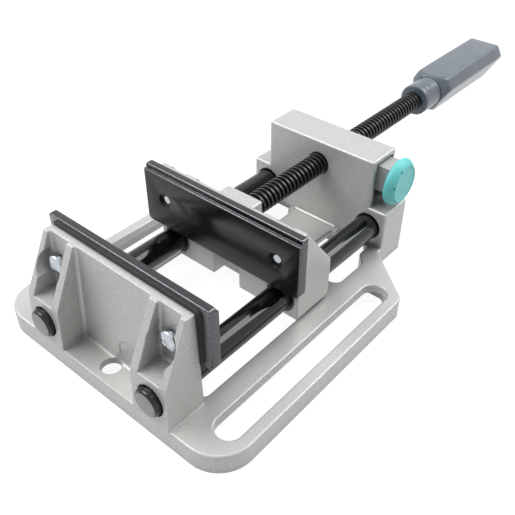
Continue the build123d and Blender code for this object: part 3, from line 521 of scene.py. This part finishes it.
for node, body, way in (("fixed_jaw_screws", "base", 1.0), ("moving_jaw_screws", "carriage", -1.0)):
    low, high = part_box(node)
    length = high.y - low.y
    top = low.y if way > 0.0 else high.y
    for side, x in (("left", low.x + HEAD_R), ("right", high.x - HEAD_R)):
        dome = [(DOME * (k / HEAD_RINGS) ** 2, HEAD_R * k / HEAD_RINGS) for k in range(HEAD_RINGS)]
        outline = dome + [(DOME + 0.2 * MM, HEAD_R), (HEAD_HEIGHT, HEAD_R), (HEAD_HEIGHT, SHANK_R),
                          (length - SHANK_EDGE, SHANK_R), (length, SHANK_R - SHANK_EDGE),
                          (length, 0.0)]
        centre = Vector((x, top, (low.z + high.z) / 2.0))
        screw = turned(outline, centre, (0.0, way, 0.0), HEAD_STEPS)
        for vert in screw.verts:
            across = sorted((abs(vert.co.x - centre.x), abs(vert.co.z - centre.z)))
            if abs(vert.co.y - top) < DOME and across[0] < CROSS_HALF_W and across[1] < CROSS_HALF:
                share = (1.0 - (across[0] / CROSS_HALF_W) ** 2) * (1.0 - (across[1] / CROSS_HALF) ** 2)
                vert.co.y += way * CROSS_DEEP * share
        finished(screw, f"{node}_{side}_plated", body, [bright_zinc], [node])

for node, body in (("fixed_jaw_washers", "base"), ("moving_jaw_washers", "carriage")):
    collars = softened_copy(node, COLLAR_ROUND, 2)
    finished(collars, node.replace("washers", "collars") + "_plated", body, [bright_zinc],
             [node])

# Bushes in the sliding jaw
# Moulded from dark bearing plastic with a dull surface, and pressed into the casting. The rods
# run in them, and only their edges show.
bearing_plastic, tree, shader = new_finish("bearing_plastic", Roughness=0.45)
mottle(tree, shader, 1.0, "#131313", "#1D1D1D")
coat_node("rod_bush_left", bearing_plastic)
coat_node("rod_bush_right", bearing_plastic)

# Spindle
# Steel with a rolled 12 x 3 trapezoidal thread, oxidised black and oiled. A plain journal at
# the front turns in the sliding jaw, and the rear end is set in the grip.
LEAD = 3.0 * MM
CREST_R = 6.0 * MM
ROOT_R = 4.4 * MM
JOURNAL_R = 4.9 * MM
GROOVE_R = 4.1 * MM
THREAD_STEPS = 40
ON_CUT = 1e-7
CLEAR_OF_WASHER = 0.02 * MM
CLEAR_OF_GRIP = 0.1 * MM
# One turn of the thread, each point as (share of the lead, radius)
THREAD_PROFILE = ((0.0, ROOT_R), (0.17, ROOT_R), (0.32, CREST_R),
                  (0.68, CREST_R), (0.83, ROOT_R), (1.0, ROOT_R))
JOURNAL_EDGE = 0.4 * MM
JOURNAL_LAP = 0.5 * MM

screw_low, screw_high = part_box("lead_screw")
screw_x = (screw_low.x + screw_high.x) / 2.0
screw_z = (screw_low.z + screw_high.z) / 2.0
grip_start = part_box("handle")[0].y
grip_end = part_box("handle")[1].y
thread_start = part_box("spindle_thrust_washer")[1].y + CLEAR_OF_WASHER
thread_end = grip_start - CLEAR_OF_GRIP
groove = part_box("spindle_retaining_ring")

oiled_black, tree, shader = new_finish("oiled_black_steel", Roughness=0.32, Specular_IOR_Level=0.5)
mottle(tree, shader, 3.0, "#121214", "#1B1B1E", 0.4, 0.6)

thread = bmesh.new()
turns = math.ceil((thread_end - thread_start) / LEAD) + 2
along = thread_start - LEAD
corners = []
for share, radius in THREAD_PROFILE:
    corners.append(thread.verts.new((screw_x, along + share * LEAD, screw_z + radius)))
flanks = [thread.edges.new(pair) for pair in zip(corners, corners[1:])]
bmesh.ops.spin(thread, geom=corners + flanks, cent=(screw_x, along, screw_z), axis=(0.0, 1.0, 0.0),
               dvec=(0.0, LEAD / THREAD_STEPS, 0.0), angle=2.0 * math.pi * turns,
               steps=turns * THREAD_STEPS)
bmesh.ops.remove_doubles(thread, verts=thread.verts, dist=MERGE)
for cut, way in ((thread_start, -1.0), (thread_end, 1.0)):
    bmesh.ops.bisect_plane(thread, geom=thread.verts[:] + thread.edges[:] + thread.faces[:],
                           dist=ON_CUT, plane_co=(0.0, cut, 0.0), plane_no=(0.0, way, 0.0),
                           clear_outer=True)
    rim = [e for e in thread.edges
           if e.is_boundary and all(abs(v.co.y - cut) < MERGE for v in e.verts)]
    bmesh.ops.holes_fill(thread, edges=rim, sides=0)
bmesh.ops.recalc_face_normals(thread, faces=thread.faces)
finished(thread, "spindle_thread", "spindle", [oiled_black], ["lead_screw"])

journal_end = thread_start + JOURNAL_LAP
journal = [(screw_low.y, 0.0), (screw_low.y, JOURNAL_R - JOURNAL_EDGE),
           (screw_low.y + JOURNAL_EDGE, JOURNAL_R), (groove[0].y, JOURNAL_R), (groove[0].y, GROOVE_R),
           (groove[1].y, GROOVE_R), (groove[1].y, JOURNAL_R), (journal_end, JOURNAL_R),
           (journal_end, 0.0)]
finished(turned(journal, (screw_x, 0.0, screw_z), (0.0, 1.0, 0.0)), "spindle_journal", "spindle",
         [oiled_black], ["lead_screw"])

# Thrust washer, retaining ring, spring and pins
# Small parts inside the boss, the tower and the grip: the washer is turned from yellow brass, and
# the others are drawn steel with a soft grey shine. They hardly show.
turned_brass, tree, shader = new_finish("turned_brass", Roughness=0.3, Metallic=1.0)
mottle(tree, shader, 1.0, "#B89A55", "#CDB06A", 0.3, 0.7)
coat_node("spindle_thrust_washer", turned_brass)

drawn_steel, tree, shader = new_finish("drawn_spring_steel", Roughness=0.35, Metallic=1.0)
mottle(tree, shader, 0.8, "#7C7F84", "#9A9DA2", 0.3, 0.7)
for node in ("spindle_retaining_ring", "handle_pin", "release_spring", "slider_stop_pin"):
    coat_node(node, drawn_steel)

# Grip
# Injection-moulded grey-blue plastic over the end of the spindle: three broad flats and three
# narrow ones, with a round hub. Its satin skin spreads the highlights along the flats.
FLAT_AT = 10.7 * MM
CORNER_AT = 14.4 * MM
HUB_R = 9.7 * MM
HUB_LENGTH = 17.5 * MM
HUB_ROUND = 0.9 * MM
SHOULDER = 9.0 * MM
END_ROUND = 1.0 * MM
GRIP_STEPS = 120
CORNER_SHARPNESS = 34.0
LIMIT_SHARPNESS = 16.0
CLEAR_OF_CORNERS = 2.5 * MM
HUB_STEP = 0.5 * MM
HUB_STATIONS = 6
SHOULDER_STATIONS = 18
BODY_STATIONS = 8


def grip_radius(angle):
    """Distance of the outline from the axis; an angle of 0 is +X, a quarter turn is up."""
    total = 0.0
    for k in range(6):
        facing = math.radians(90.0 + 60.0 * k)
        reach = FLAT_AT if k % 2 == 0 else CORNER_AT
        total += max(0.0, math.cos(angle - facing) / reach) ** CORNER_SHARPNESS
    return total ** (-1.0 / CORNER_SHARPNESS)


def place_ring(verts, along, limit, shrink=0.0):
    """Put one ring of the grip on its outline, held inside a round limit."""
    for vert in verts:
        angle = math.atan2(vert.co.z - screw_z, vert.co.x - screw_x)
        both = grip_radius(angle) ** -LIMIT_SHARPNESS + limit ** -LIMIT_SHARPNESS
        inside = both ** (-1.0 / LIMIT_SHARPNESS)
        radius = (limit if limit <= HUB_R else inside) - shrink
        vert.co = (screw_x + radius * math.cos(angle), along, screw_z + radius * math.sin(angle))


quarter = [math.radians(18.0 * k) for k in range(6)]
shoulder_start = grip_start + HUB_LENGTH
shoulder_end = shoulder_start + SHOULDER
body_length = grip_end - END_ROUND - shoulder_end
full = CORNER_AT + CLEAR_OF_CORNERS
# Each station is (place along the spindle, round limit of the radius, shrink)
stations = []
for turn in reversed(quarter):
    stations.append((grip_start + HUB_ROUND * (1.0 - math.sin(turn)),
                     HUB_R - HUB_ROUND * (1.0 - math.cos(turn)), 0.0))
for k in range(1, HUB_STATIONS + 1):
    stations.append((grip_start + HUB_ROUND + (HUB_LENGTH - HUB_ROUND) * k / HUB_STATIONS, HUB_R, 0.0))
for k in range(SHOULDER_STATIONS + 1):
    swell = math.sin(math.radians(90.0 * k / SHOULDER_STATIONS))
    stations.append((shoulder_start + SHOULDER * k / SHOULDER_STATIONS,
                     HUB_R + HUB_STEP + (full - HUB_R) * swell, 0.0))
for k in range(1, BODY_STATIONS + 1):
    stations.append((shoulder_end + body_length * k / BODY_STATIONS, 2.0 * full, 0.0))
for turn in quarter[1:]:
    stations.append((grip_end - END_ROUND * (1.0 - math.sin(turn)), 2.0 * full,
                     END_ROUND * (1.0 - math.cos(turn))))

grip = bmesh.new()
upright = Matrix.Translation((screw_x, grip_start, screw_z)) @ Matrix.Rotation(math.pi / 2.0, 4, "X")
bmesh.ops.create_circle(grip, segments=GRIP_STEPS, radius=HUB_R, matrix=upright)
place_ring(grip.verts, *stations[0])
loop = grip.edges[:]
for station in stations[1:]:
    grown = bmesh.ops.extrude_edge_only(grip, edges=loop)["geom"]
    loop = [g for g in grown if isinstance(g, bmesh.types.BMEdge)]
    place_ring([g for g in grown if isinstance(g, bmesh.types.BMVert)], *station)
bmesh.ops.holes_fill(grip, edges=[e for e in grip.edges if e.is_boundary], sides=0)
bmesh.ops.recalc_face_normals(grip, faces=grip.faces)

moulded_grip, tree, shader = new_finish("moulded_grip_plastic", Roughness=0.36, Coat_Weight=0.6,
                                        Coat_Roughness=0.26)
mottle(tree, shader, 14.0, "#505B65", "#58636D")
finished(grip, "grip_moulding", "spindle", [moulded_grip], ["handle"])

# Moulding ring on the grip's hub
# A small raised ring that the mould leaves, in one with the grip's plastic. It stands on the hub
# and bends down with its round surface.
MARK_AT = 6.8 * MM
MARK_TURN = math.radians(30.0)
# Height above the hub and radius, in millimetres
MARK_PROFILE = ((-1.0, 2.3), (0.2, 2.3), (0.3, 2.45), (0.3, 2.95), (0.2, 3.1), (-1.0, 3.1), (-1.0, 2.3))
MARK_STEPS = 48
outward = Vector((math.sin(MARK_TURN), 0.0, math.cos(MARK_TURN)))
hub_point = Vector((screw_x, grip_start + MARK_AT, screw_z)) + outward * HUB_R
mark_section = [(rise * MM, radius * MM) for rise, radius in MARK_PROFILE]
mark = turned(mark_section, hub_point, outward, MARK_STEPS)
for vert in mark.verts:
    sideways = (vert.co - hub_point).cross(outward).y
    vert.co -= outward * (HUB_R - math.sqrt(HUB_R ** 2 - sideways ** 2))
finished(mark, "grip_moulding_ring", "spindle", [moulded_grip], ["handle"])

# Release slider
# Zinc die-casting that carries the half nut, left as cast and matt grey. Only its outer end
# shows, between the tower and the button.
SLIDE_ROUND = 0.5 * MM

raw_zinc, tree, shader = new_finish("raw_zinc_casting", Roughness=0.5, Metallic=0.4)
mottle(tree, shader, 0.7, "#A2A2A3", "#B6B6B7")
slide = softened_copy("half_nut_slider", SLIDE_ROUND, 3)
finished(slide, "half_nut_slide_casting", "release", [raw_zinc], ["half_nut_slider"])

# Release button
# Moulded turquoise plastic pressed on the slider's spigot: a rolled glossy rim, a matt face that
# is slightly sunk, and seven small dimples where the two meet, coloured darker as painted shade.
BUTTON_R = 13.1 * MM
BUTTON_BACK_R = 9.0 * MM
BUTTON_FACE_R = 9.9 * MM
WIDEST_AT = 2.3 * MM
SUNK = 0.35 * MM
DIMPLES = 7
STEPS_PER_DIMPLE = 16
DIMPLES_AT = 10.6 * MM
DIMPLE_R = 0.6 * MM
DIMPLE_DEPTH = 0.9 * MM
DIMPLE_START = math.radians(67.8)
# Places in the button's list of finishes; the first one covers the rim
MATT_FACE, DIMPLE_SHADE = 1, 2


def curve(*points, count=9):
    """Points of one smooth curve: its start, two handles and its end, as (along, radius)."""
    return [(p.x, p.y) for p in interpolate_bezier(*[Vector((a, r, 0.0)) for a, r in points], count)]


button_low, button_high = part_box("release_button")
button_centre = Vector((button_low.x, (button_low.y + button_high.y) / 2.0,
                        (button_low.z + button_high.z) / 2.0))
thickness = button_high.x - button_low.x
rolled = [(0.0, 0.0)]
rolled += curve((0.0, BUTTON_BACK_R), (0.0, 12.2 * MM), (0.9 * MM, BUTTON_R), (WIDEST_AT, BUTTON_R))
rolled += curve((WIDEST_AT, BUTTON_R), (3.8 * MM, BUTTON_R), (6.1 * MM, 10.8 * MM),
                (thickness, BUTTON_FACE_R))[1:]
sunk_face = thickness - SUNK
rolled += [(sunk_face, BUTTON_FACE_R - 0.5 * MM), (sunk_face, BUTTON_FACE_R - 1.0 * MM), (sunk_face, 0.0)]
button = turned(rolled, button_centre, (1.0, 0.0, 0.0), steps=STEPS_PER_DIMPLE * DIMPLES)
for face in button.faces:
    middle = face.calc_center_median() - button_centre
    from_axis = math.hypot(middle.y, middle.z)
    flat = middle.x > sunk_face - NEAR and from_axis < BUTTON_FACE_R - 0.4 * MM
    face.material_index = MATT_FACE if flat else 0
for k in range(DIMPLES):
    angle = DIMPLE_START + 2.0 * math.pi * k / DIMPLES
    spot = button_centre + Vector((thickness, DIMPLES_AT * math.cos(angle), DIMPLES_AT * math.sin(angle)))
    middle = min(button.verts, key=lambda v: (v.co - spot).length)
    around = {v for face in middle.link_faces for v in face.verts} - {middle}
    for vert in around:
        away = vert.co - middle.co
        away.x = 0.0
        vert.co.yz = (middle.co + away.normalized() * DIMPLE_R).yz
    for face in middle.link_faces:
        face.material_index = DIMPLE_SHADE
    middle.co.x -= DIMPLE_DEPTH

turquoise, tree, shader = new_finish("moulded_turquoise", Roughness=0.42, Specular_IOR_Level=0.4)
mottle(tree, shader, 12.0, "#6CD1D2", "#74D7D8")
matt_turquoise, tree, shader = new_finish("matt_turquoise_face", Roughness=0.6)
mottle(tree, shader, 6.0, "#83D6D7", "#8DDEDF")
relief = add(tree, "ShaderNodeBump", {"Height": grain(tree, 0.5), "Strength": 0.15,
                                      "Distance": 0.05 * MM})
tree.links.new(relief.outputs[0], shader.inputs["Normal"])
# Painted shade: the dimples' faces get a darker turquoise, where shade falls in the pits.
dimple_painted_shade, tree, shader = new_finish("turquoise_dimple_painted_shade", Roughness=0.7)
mottle(tree, shader, 0.6, "#2F8C8D", "#3B9C9D")
finished(button, "button_moulding", "release", [turquoise, matt_turquoise, dimple_painted_shade],
         ["release_button"])
